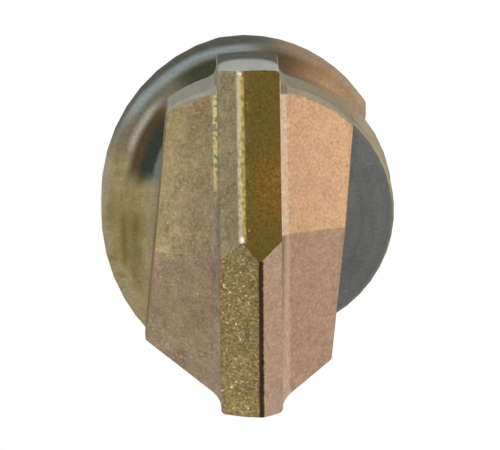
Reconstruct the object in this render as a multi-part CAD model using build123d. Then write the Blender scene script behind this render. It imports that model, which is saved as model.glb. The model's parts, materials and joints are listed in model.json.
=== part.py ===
from build123d import *
import os
from math import cos, radians, sin, sqrt

os.makedirs("parts", exist_ok=True)

# All lengths are millimetres. The bit stands on its shank end: z is 0 there and grows to the tip.
# Seen from the tip it cuts counter-clockwise, and the main blade lies along Y.

# Overall sizes
cutting_diameter = 12.0
overall_length = 160.0
flute_length = 92.0

# Main blade of the carbide head
head_height = 6.0
blade_half_width = 1.06
chisel_offset = 0.31
point_slope = 0.29
heel_slope = 0.345
lead_slope = 0.885

# Wings of the carbide head
wing_setback = 0.8
wing_lead_angle = 122.1
wing_heel_angle = 45.9
ridge_offset = 0.38
ridge_drop = 0.70
ridge_slope = 0.645
wing_heel_slope = 0.30
wing_lead_slope = 0.44
end_bulge = 0.15
end_shoulder = 0.25
end_fillet = 0.45
root_width = 0.28
root_slope = 1.9

# Twisted body
head_overhang = 0.13
flute_pitch = 18.0
core_share = 0.513
floor_angle = -32.0
flank_share = 0.602
flank_angle = 4.0
runout_length = 14.0
runout_sag = 1.6
neck_chamfer = 0.5

# Slotted shank
shank_diameter = 10.0
end_chamfer = 0.6
drive_slot_width = 2.8
drive_slot_depth = 1.3
drive_slot_length = 29.5
drive_slot_rise = 4.0
lock_groove_radius = 2.5
lock_groove_depth = 1.2
lock_groove_start = 8.5
lock_groove_length = 20.0

# Sizes that follow from those above
cutting_radius = cutting_diameter / 2
shank_radius = shank_diameter / 2
head_base_z = overall_length - head_height
flute_start_z = head_base_z - flute_length
wing_radius = cutting_radius - wing_setback
land_radius = wing_radius - head_overhang
core_radius = core_share * land_radius
flank_radius = flank_share * land_radius
blade_end_y = sqrt(cutting_radius**2 - blade_half_width**2)


def polar(radius, angle):
    return (radius * cos(radians(angle)), radius * sin(radians(angle)))


def half_turn(shape):
    return Rotation(0, 0, 180) * shape


# Everything under the plane that crosses the axis at this height and climbs by these slopes.
def below_plane(height, slope_x, slope_y):
    reach = 4 * cutting_diameter
    top = Plane(origin=(0, 0, height), z_dir=(-slope_x, -slope_y, 1))
    return top * Box(reach, reach, reach, align=(Align.CENTER, Align.CENTER, Align.MAX))


# The arc over the wings' round ends at +Y, and over the lands: at +Y for turn 0 and at -Y for turn 180.
def rim_arc(radius, bulge, turn):
    middle = (wing_heel_angle + wing_lead_angle) / 2 + turn
    return ThreePointArc(
        polar(radius, wing_heel_angle + turn),
        polar(radius + bulge, middle),
        polar(radius, wing_lead_angle + turn),
    )


# The wings' straight ends at -Y, which run from their corners to just short of the blade's end.
def straight_ends():
    shoulder_y = end_shoulder - blade_end_y
    return Polyline(
        [
            polar(wing_radius, wing_heel_angle + 180),
            (-blade_half_width, shoulder_y),
            (blade_half_width, shoulder_y),
            polar(wing_radius, wing_lead_angle + 180),
        ]
    )


def blade_outline():
    return Rectangle(2 * blade_half_width, 2 * cutting_diameter) & Circle(cutting_radius)


# The main blade: four ground planes that meet in the slanted chisel edge.
def make_blade():
    blade = Pos(0, 0, head_base_z) * extrude(blade_outline(), amount=head_height)
    lead_height = overall_length + (heel_slope + lead_slope) * chisel_offset
    heel = below_plane(overall_length, -heel_slope, -point_slope)
    lead = below_plane(lead_height, lead_slope, -point_slope)
    for facet in (heel, half_turn(heel), lead, half_turn(lead)):
        blade = blade & facet
    return blade


# The head seen from the tip: both wings, the blade's ends and the fillets between them.
def head_outline():
    top = rim_arc(wing_radius, end_bulge, 0)
    bottom = straight_ends()
    sides = Line(top @ 1, bottom @ 0) + Line(bottom @ 1, top @ 0)
    outline = make_face(top + bottom + sides) + blade_outline()
    corners = [
        vertex
        for vertex in outline.vertices()
        if abs(abs(vertex.X) - blade_half_width) < 0.01
        and abs(vertex.Y) < 0.99 * blade_end_y
    ]
    return fillet(corners, end_fillet)


# The two roof planes of the -X wing, both climbing towards the blade by slope_x.
def wing_roof(height, slope_x):
    heel = below_plane(height - wing_heel_slope * ridge_offset, slope_x, -wing_heel_slope)
    lead = below_plane(height + wing_lead_slope * ridge_offset, slope_x, wing_lead_slope)
    return heel & lead


# The space of the -X wing, with the steeper band along its root that eases the corner to the blade.
def wing_space():
    ridge_height = overall_length - ridge_drop
    root_x = -blade_half_width - root_width
    band_height = ridge_height + (ridge_slope - root_slope) * root_x
    wing = slab(-cutting_radius, 0) & wing_roof(ridge_height, ridge_slope)
    band = slab(root_x, -blade_half_width) & wing_roof(band_height, root_slope)
    return wing + band


# All space at head height between two values of x.
def slab(low_x, high_x):
    size = (high_x - low_x, 2 * cutting_diameter, 2 * head_height)
    return Pos(low_x, 0, head_base_z - head_height / 2) * Box(
        *size, align=(Align.MIN, Align.CENTER, Align.MIN)
    )


def make_head():
    prism = Pos(0, 0, head_base_z) * extrude(head_outline(), amount=head_height)
    space = wing_space()
    return make_blade() + (prism & space) + (prism & half_turn(space))


# One flute wall, from the heel corner of the top land over its floor to the lead corner of the other.
def flute_wall():
    return Spline(
        [
            polar(land_radius, wing_heel_angle),
            polar(flank_radius, flank_angle),
            polar(core_radius, floor_angle),
            polar(land_radius, wing_lead_angle - 180),
        ]
    )


# The body's cross-section twisted up a right-hand helix, so that it ends in line with the head.
def make_twist():
    wall = flute_wall()
    lands = rim_arc(land_radius, 0, 0) + rim_arc(land_radius, 0, 180)
    section = make_face(lands + wall + half_turn(wall))
    turn = 360 * flute_length / flute_pitch
    start = Pos(0, 0, flute_start_z) * Rotation(0, 0, -turn) * section
    return Solid.extrude_linear_with_rotation(
        start.faces()[0],
        center=(0, 0, flute_start_z),
        normal=(0, 0, flute_length),
        angle=turn,
    )


# The turned bar: end chamfer, shank, neck, and the hollow cone on which the flutes run out.
def make_bar():
    runout_z = flute_start_z + runout_length
    tip_radius = core_radius / 2
    middle_radius = (land_radius + tip_radius) / 2 - runout_sag
    corners = [
        (0, 0),
        (shank_radius - end_chamfer, 0),
        (shank_radius, end_chamfer),
        (shank_radius, flute_start_z - neck_chamfer),
        (land_radius, flute_start_z),
    ]
    cone = ThreePointArc(
        corners[-1],
        (middle_radius, flute_start_z + runout_length / 2),
        (tip_radius, runout_z),
    )
    closing = Polyline([(tip_radius, runout_z), (0, runout_z), (0, 0)])
    profile = Plane.XZ * make_face(Polyline(corners) + cone + closing)
    return revolve(profile, Axis.Z)


# A straight drive slot on the +X side, open at the shank end and curving out at its top.
def drive_slot():
    floor = shank_radius - drive_slot_depth
    outside = shank_radius + drive_slot_depth
    straight_z = drive_slot_length - drive_slot_rise
    rise = ThreePointArc(
        (floor, straight_z),
        (floor + drive_slot_depth / 4, straight_z + drive_slot_rise / 2),
        (shank_radius, drive_slot_length),
    )
    rest = Polyline(
        [
            (shank_radius, drive_slot_length),
            (outside, drive_slot_length),
            (outside, -drive_slot_width),
            (floor, -drive_slot_width),
            (floor, straight_z),
        ]
    )
    profile = Plane.XZ * make_face(rise + rest)
    return extrude(profile, amount=drive_slot_width / 2, both=True)


# A closed lock groove on the +Y side, as a round cutter with ball ends leaves it.
def lock_groove():
    distance = shank_radius - lock_groove_depth + lock_groove_radius
    straight = lock_groove_length - 2 * lock_groove_radius
    low_z = lock_groove_start + lock_groove_radius
    ball = Sphere(lock_groove_radius)
    middle = Cylinder(
        lock_groove_radius, straight, align=(Align.CENTER, Align.CENTER, Align.MIN)
    )
    return Pos(0, distance, low_z) * (middle + ball + Pos(0, 0, straight) * ball)


def make_body():
    body = make_bar() + make_twist()
    for cutter in (drive_slot(), lock_groove()):
        body = body - cutter - half_turn(cutter)
    return body


export_step(make_head(), "parts/carbide_head.step")
export_step(make_body(), "parts/drill_body.step")
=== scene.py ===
import json
import math

import bmesh
import bpy
from mathutils import Matrix, Vector

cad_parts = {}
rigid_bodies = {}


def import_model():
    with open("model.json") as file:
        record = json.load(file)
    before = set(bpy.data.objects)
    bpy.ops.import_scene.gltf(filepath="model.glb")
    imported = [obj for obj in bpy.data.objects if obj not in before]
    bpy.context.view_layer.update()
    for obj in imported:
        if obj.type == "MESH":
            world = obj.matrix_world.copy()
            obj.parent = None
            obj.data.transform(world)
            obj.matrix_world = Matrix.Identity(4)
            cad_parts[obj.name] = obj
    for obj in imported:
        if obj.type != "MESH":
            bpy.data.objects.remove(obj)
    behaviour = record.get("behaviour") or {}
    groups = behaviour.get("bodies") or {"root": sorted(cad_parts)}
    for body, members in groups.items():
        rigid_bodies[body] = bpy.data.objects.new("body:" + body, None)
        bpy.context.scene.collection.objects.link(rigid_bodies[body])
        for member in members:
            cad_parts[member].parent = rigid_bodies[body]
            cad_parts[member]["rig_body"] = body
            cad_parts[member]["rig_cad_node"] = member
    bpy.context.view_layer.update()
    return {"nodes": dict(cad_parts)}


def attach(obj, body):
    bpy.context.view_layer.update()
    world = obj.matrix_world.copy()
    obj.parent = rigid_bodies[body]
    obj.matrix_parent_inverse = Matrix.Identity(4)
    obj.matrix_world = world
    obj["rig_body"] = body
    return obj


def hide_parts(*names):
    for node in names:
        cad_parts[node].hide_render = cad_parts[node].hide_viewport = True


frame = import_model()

print("frame loaded", sorted(frame["nodes"]))


# a colour given as on screen, 0 to 255, becomes the linear colour that a shader takes
def rgb(red, green, blue):
    linear = []
    for part in (red / 255, green / 255, blue / 255):
        linear.append(part / 12.92 if part <= 0.04045 else ((part + 0.055) / 1.055) ** 2.4)
    return (linear[0], linear[1], linear[2], 1)


# a shader socket that takes part in sums, so that shader maths reads as plain expressions
class Value:
    def __init__(self, shader, socket):
        self.shader = shader
        self.socket = socket

    def __add__(self, other):
        return self.shader.maths("ADD", self, other)

    def __radd__(self, other):
        return self.shader.maths("ADD", other, self)

    def __sub__(self, other):
        return self.shader.maths("SUBTRACT", self, other)

    def __rsub__(self, other):
        return self.shader.maths("SUBTRACT", other, self)

    def __mul__(self, other):
        return self.shader.maths("MULTIPLY", self, other)

    def __rmul__(self, other):
        return self.shader.maths("MULTIPLY", other, self)

    def __truediv__(self, other):
        return self.shader.maths("DIVIDE", self, other)

    def __rtruediv__(self, other):
        return self.shader.maths("DIVIDE", other, self)

    def __abs__(self):
        return self.shader.maths("ABSOLUTE", self)


# a procedural material whose patterns are laid out in millimetres of the piece's own space
class Shader:
    def __init__(self, name):
        self.material = bpy.data.materials.new(name)
        self.material.use_nodes = True
        self.tree = self.material.node_tree
        self.surface = self.tree.nodes["Principled BSDF"]
        coordinates = self.node("ShaderNodeTexCoord", output="Object")
        self.place = self.vector("SCALE", coordinates, scale=1000)
        self.x, self.y, self.z = self.parts(self.place)
        facing = Value(self, coordinates.socket.node.outputs["Normal"])
        self.facingX, self.facingY, self.facingZ = self.parts(facing)

    def fill(self, socket, value):
        if isinstance(value, Value):
            self.tree.links.new(value.socket, socket)
        else:
            socket.default_value = value

    def node(self, kind, settings=None, inputs=None, output=0):
        made = self.tree.nodes.new(kind)
        for name, value in (settings or {}).items():
            setattr(made, name, value)
        for name, value in (inputs or {}).items():
            self.fill(made.inputs[name], value)
        return Value(self, made.outputs[output])

    def maths(self, operation, *terms):
        inputs = dict(enumerate(terms))
        return self.node("ShaderNodeMath", {"operation": operation}, inputs)

    def vector(self, operation, *terms, scale=None):
        inputs = dict(enumerate(terms))
        if scale is not None:
            inputs["Scale"] = scale
        return self.node("ShaderNodeVectorMath", {"operation": operation}, inputs)

    def parts(self, value):
        split = self.node("ShaderNodeSeparateXYZ", None, {0: value}).socket.node
        return [Value(self, output) for output in split.outputs]

    def joined(self, x, y, z):
        return self.node("ShaderNodeCombineXYZ", None, {0: x, 1: y, 2: z})

    # 0 below the edge and 1 above it, with a soft step this wide between them
    def above(self, value, edge, width):
        low, high = edge - width / 2, edge + width / 2
        inputs = {"Value": value, "From Min": low, "From Max": high}
        return self.node("ShaderNodeMapRange", {"interpolation_type": "SMOOTHSTEP"}, inputs)

    def below(self, value, edge, width):
        return 1 - self.above(value, edge, width)

    # 1 on a line of this width about the middle, with soft borders
    def line(self, value, middle, width, soft=None):
        return self.below(abs(value - middle), width / 2, soft or width / 2)

    def mix(self, amount, low, high):
        return self.node(
            "ShaderNodeMix", {"data_type": "RGBA", "clamp_factor": True}, {0: amount, 6: low, 7: high}, 2
        )

    # a colour made lighter or darker by a factor
    def scaled(self, colour, factor):
        plain = colour if isinstance(colour, Value) else colour[:3]
        return self.vector("SCALE", plain, scale=factor)

    def noise(self, place, scale, detail=2.0, roughness=0.5, distortion=0.0):
        inputs = {
            "Vector": place, "Scale": scale, "Detail": detail,
            "Roughness": roughness, "Distortion": distortion,
        }
        return self.node("ShaderNodeTexNoise", {"noise_dimensions": "3D"}, inputs, "Fac")

    def bump(self, height, strength, distance):
        inputs = {"Height": height, "Strength": strength, "Distance": distance}
        return self.node("ShaderNodeBump", None, inputs)

    def finish(self, **inputs):
        for name, value in inputs.items():
            self.fill(self.surface.inputs[name.replace("_", " ")], value)
        return self.material


# the carbide's colours, as the photograph shows them: each facet's tint holds the light and shade that falls
# on it, the ridge, root, spark and gold tints are painted highlights and the dark ridge tint a painted dark
# reflection
headTints = {
    "bladeLeftTop": rgb(139, 128, 98),
    "bladeRightTop": rgb(88, 72, 33),
    "bladeLeftBottom": rgb(120, 100, 62),
    "bladeRightBottom": rgb(180, 152, 127),
    "wingLeftTop": rgb(157, 137, 102),
    "wingLeftBottom": rgb(136, 116, 93),
    "wingRightTop": rgb(183, 145, 110),
    "wingRightBottom": rgb(178, 146, 120),
    "groundLeft": rgb(157, 157, 147),
    "groundRight": rgb(136, 127, 105),
    "groundBlade": rgb(170, 175, 169),
    "side": rgb(136, 124, 104),
    "ridgeBright": rgb(204, 194, 156),
    "ridgeGold": rgb(168, 142, 82),
    "spark": rgb(252, 248, 236),
    "ridgeDark": rgb(48, 42, 25),
    "rootRight": rgb(247, 217, 187),
    "rootLeft": rgb(174, 165, 138),
    "gold": rgb(240, 216, 150),
    "amber": rgb(138, 98, 32),
    "mauve": rgb(142, 112, 104),
    "lichen": rgb(126, 122, 74),
    "footDark": rgb(68, 69, 55),
}

# where things lie on the head, in millimetres
headPlaces = {
    "bladeHalf": 1.06, "rootInner": 1.0, "rootOuter": 1.33, "upperRidgeY": 0.34, "lowerRidgeY": -0.3,
    "goldLineX": -0.235, "brightLineX": -0.35, "sparkX": -0.32, "lowSparkY": 0.44, "highSparkY": 5.9,
    "darkReflectionX": 0.32, "glintX": -1.15, "glintLowY": 1.7, "glintHighY": 5.15, "bloomY": 2.2,
    "crownRadius": 5.12, "paleZ": 156.4, "footDarkZ": 155.7, "footDarkRise": 0.7,
}


# the carbide: masks that tell the head's facets apart by where they lie and face, and one layer a function
class Carbide(Shader):
    def __init__(self):
        super().__init__("carbide")
        self.fine = self.noise(self.place, 10, 3, 0.6)
        self.coarse = self.noise(self.place, 4, 2, 0.55)
        self.cloud = self.noise(self.place, 1.3, 2, 0.5)
        self.ragged = self.noise(self.place, 4.5, 4, 0.7)
        self.onRight = self.above(self.x, 0, 0.1)
        self.onLeft = 1 - self.onRight
        self.onBlade = self.below(abs(self.x), headPlaces["bladeHalf"], 0.03)
        self.onWings = 1 - self.onBlade
        self.northward = self.above(self.facingY, 0, 0.12)
        self.toRight = self.above(self.facingX, -0.17, 0.2)
        self.lowerFacet = self.onBlade * (1 - self.northward) * self.below(self.facingX, 0.1, 0.2)
        self.wall = self.below(self.facingZ, 0.3, 0.2)
        self.endWall = self.wall * self.above(abs(self.facingY), 0.6, 0.2)
        self.notches = self.noise(self.joined(self.x, self.y * 9, 4), 1, 2, 0.6) - 0.5
        self.lowerRidge = self.line(self.x + self.notches * 0.07, headPlaces["darkReflectionX"], 0.17, 0.07)
        self.lowerRidge = self.lowerRidge * self.below(self.y, headPlaces["lowerRidgeY"], 0.1)
        self.grain = self.grainOfFacets()

    # grain of the sintered carbide, coarser on the left and coarsest on the lower left facet
    def grainOfFacets(self):
        rough = 1.15 + self.onLeft * 0.25 + self.lowerFacet * 1.5
        patchy = 0.5 + self.onLeft * 0.2 + self.lowerFacet * 0.6
        grain = 1 + (self.fine - 0.5) * rough + (self.coarse - 0.5) * patchy
        return grain + (self.cloud - 0.5) * (0.24 + self.onLeft * 0.66)

    # the four ground facets of the blade, and the two of each wing, each painted with the light and shade
    # that falls on it
    def facets(self):
        tint = headTints
        bladeTop = self.mix(self.toRight, tint["bladeLeftTop"], tint["bladeRightTop"])
        lowerRight = self.above(self.facingX, 0.17, 0.2)
        bladeBottom = self.mix(lowerRight, tint["bladeLeftBottom"], tint["bladeRightBottom"])
        blade = self.mix(self.northward, bladeBottom, bladeTop)
        left = self.mix(self.northward, tint["wingLeftBottom"], tint["wingLeftTop"])
        right = self.mix(self.northward, tint["wingRightBottom"], tint["wingRightTop"])
        wings = self.withRoots(self.mix(self.onRight, left, right))
        return self.mix(self.onBlade, wings, blade)

    # painted highlights: paler bands where the wings' roots rise to the blade, stronger on the faces turned
    # towards +Y
    def withRoots(self, wings):
        edge = headPlaces["rootOuter"] + (self.ragged - 0.5) * 0.12
        onRoot = self.below(abs(self.x), edge, 0.08) * self.above(abs(self.x), headPlaces["rootInner"], 0.1)
        onRoot = onRoot * (0.35 + self.northward * 0.4)
        root = self.mix(self.onRight, headTints["rootLeft"], headTints["rootRight"])
        return self.mix(onRoot, wings, root)

    # amber bloom on the dark facet, strongest at its middle
    def withBloom(self, colour):
        bloom = self.above(self.fine * 0.6 + self.coarse * 0.4, 0.5, 0.5) * self.onBlade * self.northward
        bloom = bloom * self.above(self.facingX, 0.1, 0.2)
        bloom = bloom * self.below(abs(self.y - headPlaces["bloomY"]), 0.9, 1.8)
        return self.mix(bloom * self.above(self.x, 0.2, 0.9) * 0.5, colour, headTints["amber"])

    # faint mauve and green clouds, and on the lower left facet grains of both
    def withClouds(self, colour):
        clouded = 0.13 + self.onLeft * 0.09 + self.lowerFacet * 0.04 - self.onBlade * self.northward * 0.12
        hue = self.noise(self.joined(self.x, self.y, 7), 0.9 + self.lowerFacet * 7, 2, 0.6)
        colour = self.mix(self.above(hue, 0.58, 0.2) * clouded, colour, headTints["mauve"])
        return self.mix(self.below(hue, 0.42, 0.2) * clouded, colour, headTints["lichen"])

    # slow changes of brightness over the facets, as the light falls on them
    def withLight(self, colour):
        x, y = self.x, self.y
        slope = self.onWings * self.onLeft * (-2.05 - x) * self.above(y, -1.6, 2.4) * 0.17
        slope = slope + self.onWings * self.onLeft * self.below(y, -2.6, 2) * 0.05
        slope = slope + self.onWings * self.onRight * self.northward * (x - 2.2) * 0.06
        borders = self.below(x, -0.86, 0.2) + self.above(y, 5.2, 1.2)
        slope = slope + self.onBlade * self.northward * self.onLeft * borders * 0.08
        slope = slope + self.lowerFacet * (-0.08 - (y + 1.2) * 0.045 - self.above(x, 0.1, 0.4) * 0.12)
        return self.scaled(colour, 1 + slope)

    # gold specks, many on the lower left facet and few elsewhere: grains of the carbide, painted as glinting
    # highlights
    def withSpecks(self, colour):
        many = self.above(self.noise(self.place, 11, 2, 0.6), 0.6, 0.14)
        few = self.above(self.noise(self.place, 8, 1, 0.5), 0.72, 0.08)
        specks = many * self.lowerFacet * 0.24 + few * self.onLeft * (0.3 + self.lowerFacet * 0.5)
        return self.mix(specks, colour, headTints["gold"])

    # painted highlight along the honed upper ridge, with a gold border and a painted spark of light at each
    # end
    def withUpperRidge(self, colour):
        x, y, places = self.x, self.y, headPlaces
        beads = self.above(self.noise(self.joined(x * 9, y * 5, 0), 1, 2, 0.6), 0.47, 0.3)
        bright = beads + (1 - beads) * self.above(y, 3.8, 1.6) * 0.6
        upper = self.above(y, places["upperRidgeY"], 0.1)
        goldLine = self.line(x, places["goldLineX"], 0.12, 0.09) * upper * (0.25 + beads * 0.8)
        colour = self.mix(goldLine, colour, headTints["ridgeGold"])
        brightLine = self.line(x, places["brightLineX"], 0.14, 0.08) * upper * (0.3 + bright * 0.75)
        colour = self.mix(brightLine, colour, headTints["ridgeBright"])
        ends = self.line(y, places["lowSparkY"], 0.16, 0.14) + self.line(y, places["highSparkY"], 0.05, 0.08)
        return self.mix(self.line(x, places["sparkX"], 0.12, 0.1) * ends, colour, headTints["spark"])

    # the lower ridge painted as a dark reflection, with ragged borders
    def withLowerRidge(self, colour):
        darkReflection = self.scaled(headTints["ridgeDark"], 1 + self.notches * 1.2)
        return self.mix(self.lowerRidge * 0.97, colour, darkReflection)

    # a broken gold glint down the left root
    def withGlint(self, colour):
        x, y, places = self.x, self.y, headPlaces
        glint = self.line(x, places["glintX"], 0.14, 0.1) * self.above(y, places["glintLowY"], 1.2)
        glint = glint * self.below(y, places["glintHighY"], 0.2) * self.onWings
        glint = glint * self.above(self.noise(self.joined(x * 4, y * 5, 2), 1, 2, 0.6), 0.45, 0.14)
        return self.mix(glint, colour, headTints["gold"])

    # the grey of the ends that are ground with the body, lighter towards the top and darker at the foot of
    # the blade's ends; on the right wing, painted light on the walls and painted shade on the crown even out
    # the light that falls there
    def groundGrey(self):
        tint, fine, coarse = headTints, self.fine, self.coarse
        ground = self.mix(self.onRight, tint["groundLeft"], tint["groundRight"])
        ground = self.mix(self.onBlade, ground, tint["groundBlade"])
        pale = self.above(self.z, headPlaces["paleZ"], 4) * 0.14
        ground = self.scaled(ground, 0.8 + coarse * 0.16 + self.ragged * 0.14 + pale)
        lighter = self.onBlade * self.onLeft * 0.06
        ground = self.scaled(ground, 1 + lighter + (fine - 0.5) * 0.7 + (coarse - 0.5) * 0.4)
        # painted light on the right wing's walls and painted shade on its crown
        ground = self.scaled(ground, 1 + self.onRight * self.onWings * (self.wall * 0.14 - 0.04))
        corner = self.maths("POWER", abs(self.x) / headPlaces["bladeHalf"], 4)
        foot = self.below(self.z - corner * headPlaces["footDarkRise"], headPlaces["footDarkZ"], 0.9)
        return self.mix(self.onBlade * foot, ground, tint["footDark"])

    # the side walls, and the ground band round the upper ends, with a ragged border on the right
    def withWalls(self, colour):
        radius = self.maths("SQRT", self.x * self.x + self.y * self.y)
        reach = radius + (self.ragged - 0.5) * self.onRight * 0.3
        crown = self.above(reach, headPlaces["crownRadius"] - self.onRight * 0.04, 0.05)
        crown = crown * self.above(abs(self.x), 1.1, 0.05) * self.above(self.y, 0, 0.1)
        colour = self.mix(self.wall, colour, self.scaled(headTints["side"], self.grain))
        ground = self.maths("MAXIMUM", crown * (1 - self.wall), self.endWall)
        return self.mix(ground, colour, self.groundGrey())

    # the dark facet, the dark-painted lower ridge and the side walls reflect like bare metal
    def bareMetal(self):
        darkFacet = self.onBlade * self.northward * self.toRight * (1 - self.wall)
        bare = self.maths("MAXIMUM", darkFacet, self.lowerRidge)
        sides = self.wall * (1 - self.endWall) * self.above(abs(self.x), 1.4, 0.4)
        return self.maths("MAXIMUM", bare, sides)


def carbideMaterial():
    shader = Carbide()
    colour = shader.withBloom(shader.facets())
    colour = shader.withClouds(shader.scaled(colour, shader.grain))
    colour = shader.withSpecks(shader.withLight(colour))
    colour = shader.withLowerRidge(shader.withUpperRidge(colour))
    colour = shader.withWalls(shader.withGlint(colour))
    normal = shader.bump(shader.fine * 0.7 + shader.coarse * 0.3, 0.4, 0.00004)
    return shader.finish(
        Base_Color=colour, Metallic=0.5 + shader.bareMetal() * 0.5,
        Roughness=0.46 + shader.coarse * 0.16, Normal=normal, Specular_Tint=(0.6, 0.56, 0.48, 1),
    )


# how the head's mesh is cleaned and rounded, with lengths in metres and angles in degrees
headShape = {
    "mergeDistance": 1e-7, "flatAngle": 0.4, "sliver": 2e-6,
    "rounding": 0.00005, "steps": 2, "sharpAngle": 14, "upright": 0.9,
    "baseZ": 0.15401, "filletX": 0.0015, "filletStep": 0.0003, "endY": 0.005,
    "smoothAngle": 28, "flatWeight": 90,
}

# the blade's upright corners, each taken off by a small block with a round hollow
cornerShape = {
    "endRadius": 0.006, "halfWidth": 0.00106, "rounding": 0.00018, "steps": 48,
    "block": 0.0006, "gap": 0.00001, "middleZ": 0.157, "height": 0.01,
}


# a loose copy of a CAD node, without its frame tags and its custom normals
def copyOfNode(nodeName, copyName):
    bpy.ops.object.select_all(action="DESELECT")
    node = frame["nodes"][nodeName]
    node.select_set(True)
    bpy.context.view_layer.objects.active = node
    bpy.ops.object.duplicate()
    copy = bpy.context.object
    copy.name = copyName
    copy.parent = None
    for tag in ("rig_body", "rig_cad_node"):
        del copy[tag]
    bpy.ops.mesh.customdata_custom_splitnormals_clear()
    return copy


# points closer than this distance become one, and each flat becomes one face
def mergeFlats(distance):
    bpy.ops.object.mode_set(mode="EDIT")
    bpy.ops.mesh.select_mode(type="EDGE")
    bpy.ops.mesh.select_all(action="SELECT")
    bpy.ops.mesh.remove_doubles(threshold=distance)
    bpy.ops.mesh.dissolve_limited(angle_limit=math.radians(headShape["flatAngle"]))
    bpy.ops.mesh.normals_make_consistent(inside=False)
    bpy.ops.object.mode_set(mode="OBJECT")


def cutAway(piece, cutter):
    bpy.ops.object.select_all(action="DESELECT")
    piece.select_set(True)
    bpy.context.view_layer.objects.active = piece
    bpy.ops.object.modifier_add(type="BOOLEAN")
    carving = piece.modifiers[-1]
    carving.operation = "DIFFERENCE"
    carving.solver = "EXACT"
    carving.object = cutter
    bpy.ops.object.modifier_apply(modifier=carving.name)
    bpy.data.objects.remove(cutter)


def roundCorner(head, sideX, sideY):
    shape = cornerShape
    middleX = shape["halfWidth"] - shape["rounding"]
    middleY = math.sqrt((shape["endRadius"] - shape["rounding"]) ** 2 - middleX ** 2)
    blockX = middleX + shape["gap"] + shape["block"] / 2
    blockY = middleY + shape["block"] / 2
    bpy.ops.object.select_all(action="DESELECT")
    bpy.ops.mesh.primitive_cube_add(size=1, location=(sideX * blockX, sideY * blockY, shape["middleZ"]))
    block = bpy.context.object
    block.scale = (shape["block"], shape["block"], shape["height"])
    bpy.ops.object.transform_apply(location=True, rotation=True, scale=True)
    bpy.ops.object.select_all(action="DESELECT")
    bpy.ops.mesh.primitive_cylinder_add(
        vertices=shape["steps"], radius=shape["rounding"], depth=2 * shape["height"],
        location=(sideX * middleX, sideY * middleY, shape["middleZ"]),
    )
    rod = bpy.context.object
    bpy.ops.object.transform_apply(location=True, rotation=True, scale=True)
    cutAway(block, rod)
    cutAway(head, block)


# the outer edges that get rounded: none round the base, along the fillets or up the blade's corners
def isOuterEdge(edge):
    shape = headShape
    first, second = (vertex.co for vertex in edge.verts)
    length = edge.calc_length()
    onBase = max(first.z, second.z) < shape["baseZ"]
    onFillet = length < shape["filletStep"] and abs(first.x) < shape["filletX"]
    upright = abs(first.z - second.z) > shape["upright"] * length
    onCorner = upright and abs(first.x) < shape["filletX"] and abs(first.y) > shape["endY"]
    sharp = edge.is_convex and edge.calc_face_angle() > math.radians(shape["sharpAngle"])
    return sharp and not (onBase or onFillet or onCorner)


def roundEdges(head):
    bpy.ops.object.mode_set(mode="EDIT")
    bpy.ops.mesh.select_all(action="DESELECT")
    for edge in bmesh.from_edit_mesh(head.data).edges:
        edge.select_set(isOuterEdge(edge))
    bmesh.update_edit_mesh(head.data)
    bpy.ops.mesh.bevel(offset=headShape["rounding"], segments=headShape["steps"], clamp_overlap=False)
    bpy.ops.mesh.select_all(action="SELECT")
    bpy.ops.mesh.remove_doubles(threshold=headShape["sliver"])
    bpy.ops.mesh.quads_convert_to_tris(quad_method="BEAUTY", ngon_method="BEAUTY")
    bpy.ops.object.mode_set(mode="OBJECT")


# smooth over the roundings, with the flats kept flat
def smoothRoundings(head):
    bpy.ops.object.shade_smooth_by_angle(angle=math.radians(headShape["smoothAngle"]))
    bpy.ops.object.modifier_add(type="WEIGHTED_NORMAL")
    weighted = head.modifiers[-1]
    weighted.keep_sharp = True
    weighted.weight = headShape["flatWeight"]
    bpy.ops.object.modifier_apply(modifier=weighted.name)


def makeHead():
    head = copyOfNode("carbide_head", "headDressed")
    mergeFlats(headShape["mergeDistance"])
    for sideX in (1, -1):
        for sideY in (1, -1):
            roundCorner(head, sideX, sideY)
    mergeFlats(headShape["sliver"])
    roundEdges(head)
    smoothRoundings(head)
    head.data.materials.clear()
    head.data.materials.append(carbideMaterial())
    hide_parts("carbide_head")
    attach(head, "root")
    print("head", len(head.data.polygons), "faces")


# the steel's colours near the tip, as the photograph shows them with some of their light and shade painted
# in, and the plainer ones below
bodyTints = {
    "flute": rgb(124, 119, 104),
    "land": rgb(150, 147, 138),
    "shank": rgb(158, 156, 150),
    "groove": rgb(112, 110, 102),
    "olive": rgb(154, 139, 97),
    "slate": rgb(110, 111, 109),
    "crown": rgb(98, 98, 82),
    "brown": rgb(168, 136, 104),
    "blush": rgb(178, 154, 128),
    "paleEdge": rgb(164, 152, 128),
    "moss": rgb(114, 98, 42),
    "haze": rgb(166, 154, 126),
    "umber": rgb(91, 71, 45),
    "ash": rgb(128, 121, 102),
    "dark": rgb(64, 68, 48),
    "halo": rgb(163, 180, 185),
    "pearl": rgb(182, 178, 162),
    "rim": rgb(68, 73, 60),
    "poolEdgeShade": rgb(92, 74, 48),
    "pool": rgb(60, 65, 57),
    "glint": rgb(114, 129, 127),
    "lip": rgb(186, 168, 128),
    "ground": rgb(134, 124, 104),
}

# where things lie on the body: heights and radii in millimetres, the twist in degrees a millimetre
bodyPlaces = {
    "tipZ": 160, "headBaseZ": 154, "groundZ": 153.2, "stainAndShadeZ": 141, "fluteZ": 62.3,
    "outerRadius": 4.9, "hollowRadius": 3.9, "twist": 20, "landStart": 46, "landEnd": 121, "lipShare": 45.6,
}

# where the photograph looks along: its lean, and the middle of the ring that it shows
sight = {"rise": 0.986, "lean": 0.1668, "sway": 0.0131, "distance": 380, "middleX": -0.03, "middleY": 2.12}
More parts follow.
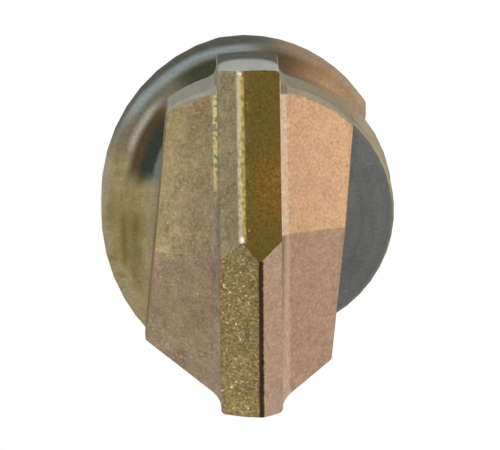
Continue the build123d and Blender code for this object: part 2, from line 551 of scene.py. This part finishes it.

# tones and painted light and shade that lie in arcs about that middle, between two bearings: painted shade
# in the brown and dark bands behind the head, along the outer rim and in the pool with its brown border;
# painted highlights in the halo, pearl and glint; and a plain ash tone
arcs = {
    "umber": {"ring": 4.3, "width": 1.0, "soft": 0.4, "start": 62, "end": 92, "fade": 30, "amount": 1},
    "ash": {"ring": 4.6, "width": 1.3, "soft": 0.3, "start": 124, "end": 160, "fade": 16, "amount": 1},
    "dark": {"ring": 4.24, "width": 0.7, "soft": 0.2, "start": 84, "end": 121, "fade": 14, "amount": 1},
    "halo": {"ring": 4.84, "width": 0.26, "soft": 0.26, "start": 88, "end": 148, "fade": 16, "amount": 0.8},
    "pearl": {"ring": 4.33, "width": 0.24, "soft": 0.24, "start": 136, "end": 160, "fade": 12, "amount": 1},
    "rim": {"ring": 5.26, "width": 0.56, "soft": 0.16, "start": 84, "end": 158, "fade": 14, "amount": 1},
    "poolEdgeShade": {"ring": 3.9, "width": 0.66, "soft": 0.3, "start": 134, "end": 173, "fade": 12, "amount": 1},
    "pool": {"ring": 3.62, "width": 0.54, "soft": 0.26, "start": 138, "end": 173, "fade": 12, "amount": 1},
    "glint": {"ring": 3.2, "width": 0.32, "soft": 0.2, "start": 150, "end": 174, "fade": 10, "amount": 1},
}

# streaks down the lower left, each a line across by a stretch upward
mossStreaks = {
    "inner": {"across": -3.88, "width": 0.4, "soft": 0.4, "upward": -2.1, "length": 2.5, "fade": 0.9},
    "outer": {"across": -4.27, "width": 0.2, "soft": 0.24, "upward": -1.6, "length": 1.8, "fade": 0.7},
}


# the steel: masks that tell flutes, lands and shank apart, and one layer a function
class Steel(Shader):
    def __init__(self):
        super().__init__("bodySteel")
        places = bodyPlaces
        self.radius = self.maths("SQRT", self.x * self.x + self.y * self.y)
        self.depth = places["headBaseZ"] - self.z
        self.cloud = self.noise(self.place, 0.35, 3, 0.55)
        self.fine = self.noise(self.place, 9, 2, 0.6)

        # the angle carried down the flutes, so that one value stays on one land or one flute wall
        self.angle = self.maths("ARCTAN2", self.y, self.x) * (180 / math.pi)
        self.phase = self.maths("FLOORED_MODULO", self.angle + places["twist"] * self.depth, 360)
        self.share = self.maths("FLOORED_MODULO", self.phase, 180)
        self.fluted = self.above(self.z, places["fluteZ"], 0.4)
        self.outer = self.above(self.radius, places["outerRadius"], 0.12)
        self.land = self.outer * self.above(self.share, places["landStart"], 3)
        self.land = self.land * self.below(self.share, places["landEnd"], 3)
        self.marks = self.toolMarks()
        self.lookAlong()

    # fine lines along the flutes, and rings round the lands and the shank
    def toolMarks(self):
        along = self.noise(self.joined(self.radius * 5, self.share * 0.02, self.depth * 0.02), 1, 3, 0.6)
        rings = self.noise(self.joined(self.z * 6, self.angle * 0.004, self.radius * 0.5), 1, 3, 0.6)
        return rings + (along - rings) * self.fluted * (1 - self.land)

    # places as seen along the photograph's line of sight: across and upward, and as a ring and a bearing
    def lookAlong(self):
        behind = bodyPlaces["tipZ"] - self.z
        scale = sight["distance"] / (sight["distance"] + behind)
        self.across = (self.x - behind * sight["sway"]) * scale - sight["middleX"]
        self.upward = (self.y * sight["rise"] + behind * sight["lean"]) * scale - sight["middleY"]
        distance = self.maths("SQRT", self.across * self.across + self.upward * self.upward)
        self.bearing = self.maths("ARCTAN2", self.upward, self.across) * (180 / math.pi)
        self.ring = distance + (self.cloud - 0.5) * 0.15 + self.above(self.bearing, 118, 20) * 0.07
        self.streak = self.noise(self.joined(self.across * 2.6, self.upward * 0.25, 0), 1, 3, 0.65)

    # the bare flutes, lands and shank, the flutes painted darker towards their floor as shade in the hollow
    def plain(self):
        hollow = self.above(self.radius, bodyPlaces["hollowRadius"], 2.6)
        flutes = self.scaled(bodyTints["flute"], 0.62 + hollow * 0.38)
        flutes = self.mix(self.land, flutes, bodyTints["land"])
        onShank = self.above(self.radius, bodyPlaces["outerRadius"], 0.1)
        shank = self.mix(onShank, bodyTints["groove"], bodyTints["shank"])
        return self.mix(self.fluted, shank, flutes)

    # tempering colours: olive on the left and slate on the right, and at the top a crown of painted shade
    # behind the head
    def tempered(self):
        across, upward, bearing, streak = self.across, self.upward, self.bearing, self.streak
        near = self.mix(self.above(across, 0.2, 3), bodyTints["olive"], bodyTints["slate"])
        flank = 0.78 + streak * 0.3 + self.line(across, -3.5, 0.3, 0.5) * 0.1
        flank = flank + self.above(upward, -1.7, 1.6) * 0.16
        near = self.scaled(near, flank + (0.97 + streak * 0.06 - flank) * self.above(across, 0, 1))
        near = self.scaled(near, 1 - self.above(bearing, 3, 8) * self.below(bearing, 60, 20) * 0.07)
        # the crown is painted shade at the top of the ring behind the head
        onCrown = self.above(upward, 2.2, 1.6) * self.below(bearing, 150, 30)
        return self.mix(onCrown, near, bodyTints["crown"])

    # the brown upper right of the land, with a paler outermost part
    def withBrown(self, near):
        warm = self.above(self.upward, 1, 1.4) * self.above(self.across, 1.1, 1.6)
        warm = warm * self.above(self.phase, bodyPlaces["landStart"], 2) * self.below(self.phase, 302, 6)
        near = self.mix(warm, near, bodyTints["brown"])
        outermost = self.below(self.bearing - (self.ring - 4.7) * 70, 36, 20)
        outermost = self.maths("MAXIMUM", outermost, self.below(self.bearing, 34, 12))
        return self.mix(warm * outermost, near, bodyTints["blush"])

    # pale and mossy blotches, streaks and freckles of the left side
    def withBlotches(self, near):
        across, upward, streak = self.across, self.upward, self.streak
        # paler along the outer edge on the left
        paleEdge = self.above(self.ring, 4.88, 0.2) * self.line(upward, 0.35, 1.6, 0.8)
        paleEdge = paleEdge * self.below(across, 0, 1)
        near = self.mix(paleEdge, near, bodyTints["paleEdge"])
        blotch = self.noise(self.joined(across, upward * 0.6, 5), 1.1, 4, 0.65)
        stained = self.below(across, -1, 1) * self.below(upward, 2, 1.2)
        hazy = stained * self.above(blotch, 0.5, 0.2) * (0.25 + self.above(upward, -2, 1) * 0.45)
        near = self.mix(hazy, near, bodyTints["haze"])
        near = self.mix(stained * self.below(blotch, 0.44, 0.16) * 0.35, near, bodyTints["moss"])
        moss = 0
        for place in mossStreaks.values():
            stripe = self.line(across, place["across"], place["width"], place["soft"])
            moss = moss + stripe * self.line(upward, place["upward"], place["length"], place["fade"])
        near = self.mix(moss * (0.2 + streak) * 0.85, near, bodyTints["moss"])
        paleStreak = self.line(across, -3.35, 0.4, 0.4) * self.line(upward, -1.2, 3.2, 1) * (0.1 + streak)
        near = self.mix(paleStreak * 0.65, near, bodyTints["haze"])
        freckle = self.above(self.noise(self.joined(across, upward, 9), 3, 3, 0.6), 0.48, 0.24)
        freckle = freckle * self.above(self.ring, 5.0, 0.2) * self.below(self.bearing, -138, 14)
        return self.mix(freckle * 0.6, near, bodyTints["haze"])

    # lays each arc over the colours: painted shade, painted highlights and a plain tone
    def withArcs(self, near):
        for name, arc in arcs.items():
            mask = self.line(self.ring, arc["ring"], arc["width"], arc["soft"]) * arc["amount"]
            mask = mask * self.above(self.bearing, arc["start"], arc["fade"])
            mask = mask * self.below(self.bearing, arc["end"], arc["fade"])
            near = self.mix(mask, near, bodyTints[name])
        return near

    # the top face painted a little lighter, against the shade that the head beside it casts there, and grit
    # and patches over all the stains and painted light and shade
    def withGrit(self, near):
        onTop = self.above(self.facingZ, 0.9, 0.1) * self.above(self.z, bodyPlaces["headBaseZ"] - 0.1, 0.05)
        near = self.scaled(near, 1 + onTop * 0.25)
        grit = self.noise(self.joined(self.across, self.upward, 0), 10, 3, 0.6)
        patch = self.noise(self.joined(self.across, self.upward, 3), 1.6, 2, 0.5)
        return self.scaled(near, 1 + (grit - 0.5) * 0.8 + (patch - 0.5) * 0.3)

    # a painted highlight along the lip of each flute, and the top of the land that is ground with the
    # carbide
    def withLips(self, colour):
        lip = self.outer * self.line(self.share, bodyPlaces["lipShare"], 3.4) * self.fluted
        lip = lip * (0.08 + self.below(self.phase, 180, 10) * 0.6 + self.below(self.upward, 1.4, 1) * 0.3)
        lip = lip * (0.3 + self.above(self.upward, -0.3, 1.6) * 0.7)
        colour = self.mix(lip, colour, bodyTints["lip"])
        ground = self.above(self.z, bodyPlaces["groundZ"], 0.15) * self.land * self.above(self.x, 1, 0.3)
        return self.mix(ground, colour, bodyTints["ground"])


def steelMaterial():
    shader = Steel()
    marks, cloud, fine = shader.marks, shader.cloud, shader.fine
    near = shader.withBlotches(shader.withBrown(shader.tempered()))
    near = shader.withGrit(shader.withArcs(near))
    # near the tip, the stains with their painted light and shade; plainer steel below
    colour = shader.mix(shader.above(shader.z, bodyPlaces["stainAndShadeZ"], 9), shader.plain(), near)
    colour = shader.scaled(shader.withLips(colour), 0.62 + marks * 0.5 + cloud * 0.16 + fine * 0.1)
    normal = shader.bump(marks * 0.8 + fine * 0.2, 0.3, 0.00003)
    return shader.finish(
        Base_Color=colour, Metallic=0.7, Roughness=0.36 + marks * 0.14 + cloud * 0.1, Normal=normal,
        Specular_Tint=(0.5, 0.5, 0.46, 1),
    )


def dressBody():
    body = frame["nodes"]["drill_body"]
    body.data.materials.clear()
    body.data.materials.append(steelMaterial())


# pale floor that the bit stands on, and a white world that metal sees as the camera does
room = {"floorSize": 4, "floor": rgb(236, 235, 232), "roughness": 0.7, "ambient": 0.62}


def makeFloor():
    bpy.ops.object.select_all(action="DESELECT")
    bpy.ops.mesh.primitive_plane_add(size=room["floorSize"], location=(0, 0, 0))
    floor = bpy.context.object
    floor.name = "floor"
    shader = Shader("floorPaint")
    floor.data.materials.append(shader.finish(Base_Color=room["floor"], Roughness=room["roughness"]))


def makeWorld():
    world = bpy.data.worlds.new("studio")
    bpy.context.scene.world = world
    world.use_nodes = True
    tree = world.node_tree
    background = tree.nodes["Background"]
    background.inputs["Color"].default_value = (1, 1, 1, 1)
    path = tree.nodes.new("ShaderNodeLightPath")
    seen = path.outputs["Is Camera Ray"]
    for name in ("Is Glossy Ray", "Is Transmission Ray"):
        either = tree.nodes.new("ShaderNodeMath")
        either.operation = "MAXIMUM"
        tree.links.new(seen, either.inputs[0])
        tree.links.new(path.outputs[name], either.inputs[1])
        seen = either.outputs[0]
    level = tree.nodes.new("ShaderNodeMapRange")
    tree.links.new(seen, level.inputs["Value"])
    level.inputs["To Min"].default_value = room["ambient"]
    level.inputs["To Max"].default_value = 1
    tree.links.new(level.outputs[0], background.inputs["Strength"])


lamps = {
    "keyLamp": {"place": (0.55, 0.25, 0.45), "size": 0.35, "energy": 1.6},
    "fillLamp": {"place": (-0.5, -0.3, 0.55), "size": 0.5, "energy": 1.5},
}
lampAim = (0, 0, 0.13)


def makeLamps():
    for name, lamp in lamps.items():
        bpy.ops.object.select_all(action="DESELECT")
        bpy.ops.object.light_add(type="AREA", location=lamp["place"])
        made = bpy.context.object
        made.name = name
        made.data.size = lamp["size"]
        made.data.energy = lamp["energy"]
        made.rotation_mode = "QUATERNION"
        aim = Vector(lampAim) - made.location
        made.rotation_quaternion = aim.to_track_quat("-Z", "Y")


# the photograph's view: from above the tip, leaned towards +Y, with +Y up in the picture. Angles are in
# degrees, the aim is in pixels off the tip, and the view ends 15 mm behind the tip as the cut-out does
view = {
    "tilt": 9.6, "swing": -0.75, "roll": -0.65, "aimX": 1.0, "aimY": 28.04, "pixelsPerMm": 29.5,
    "pictureWidth": 500, "sensor": 36, "near": 0.05, "far": 0.3951,
}


def makeCamera():
    tilt = math.radians(view["tilt"])
    swing = math.radians(view["swing"])
    focalPixels = view["pixelsPerMm"] * sight["distance"]
    away = Vector((math.sin(swing) * math.cos(tilt), math.sin(tilt), math.cos(swing) * math.cos(tilt)))
    away.normalize()
    camData = bpy.data.cameras.new("photoCamera")
    camData.sensor_width = view["sensor"]
    camData.lens = focalPixels / view["pictureWidth"] * view["sensor"]
    camData.clip_start = view["near"]
    camData.clip_end = view["far"]
    cam = bpy.data.objects.new("photoCamera", camData)
    bpy.context.scene.collection.objects.link(cam)
    cam.location = Vector((0, 0, bodyPlaces["tipZ"] / 1000)) + away * (sight["distance"] / 1000)
    right = Vector((0, 1, 0)).cross(away).normalized()
    up = away.cross(right)
    turn = Matrix((right, up, away)).transposed()
    turn = turn @ Matrix.Rotation(math.atan(view["aimX"] / focalPixels), 3, "Y")
    turn = turn @ Matrix.Rotation(math.atan(view["aimY"] / focalPixels), 3, "X")
    turn = turn @ Matrix.Rotation(math.radians(view["roll"]), 3, "Z")
    cam.rotation_mode = "QUATERNION"
    cam.rotation_quaternion = turn.to_quaternion()
    bpy.context.scene.camera = cam


makeHead()
dressBody()
print("materials made")
makeFloor()
makeWorld()
makeLamps()
makeCamera()
print("floor, world, lamps and camera made")

bpy.context.scene.view_settings.view_transform = "Standard"
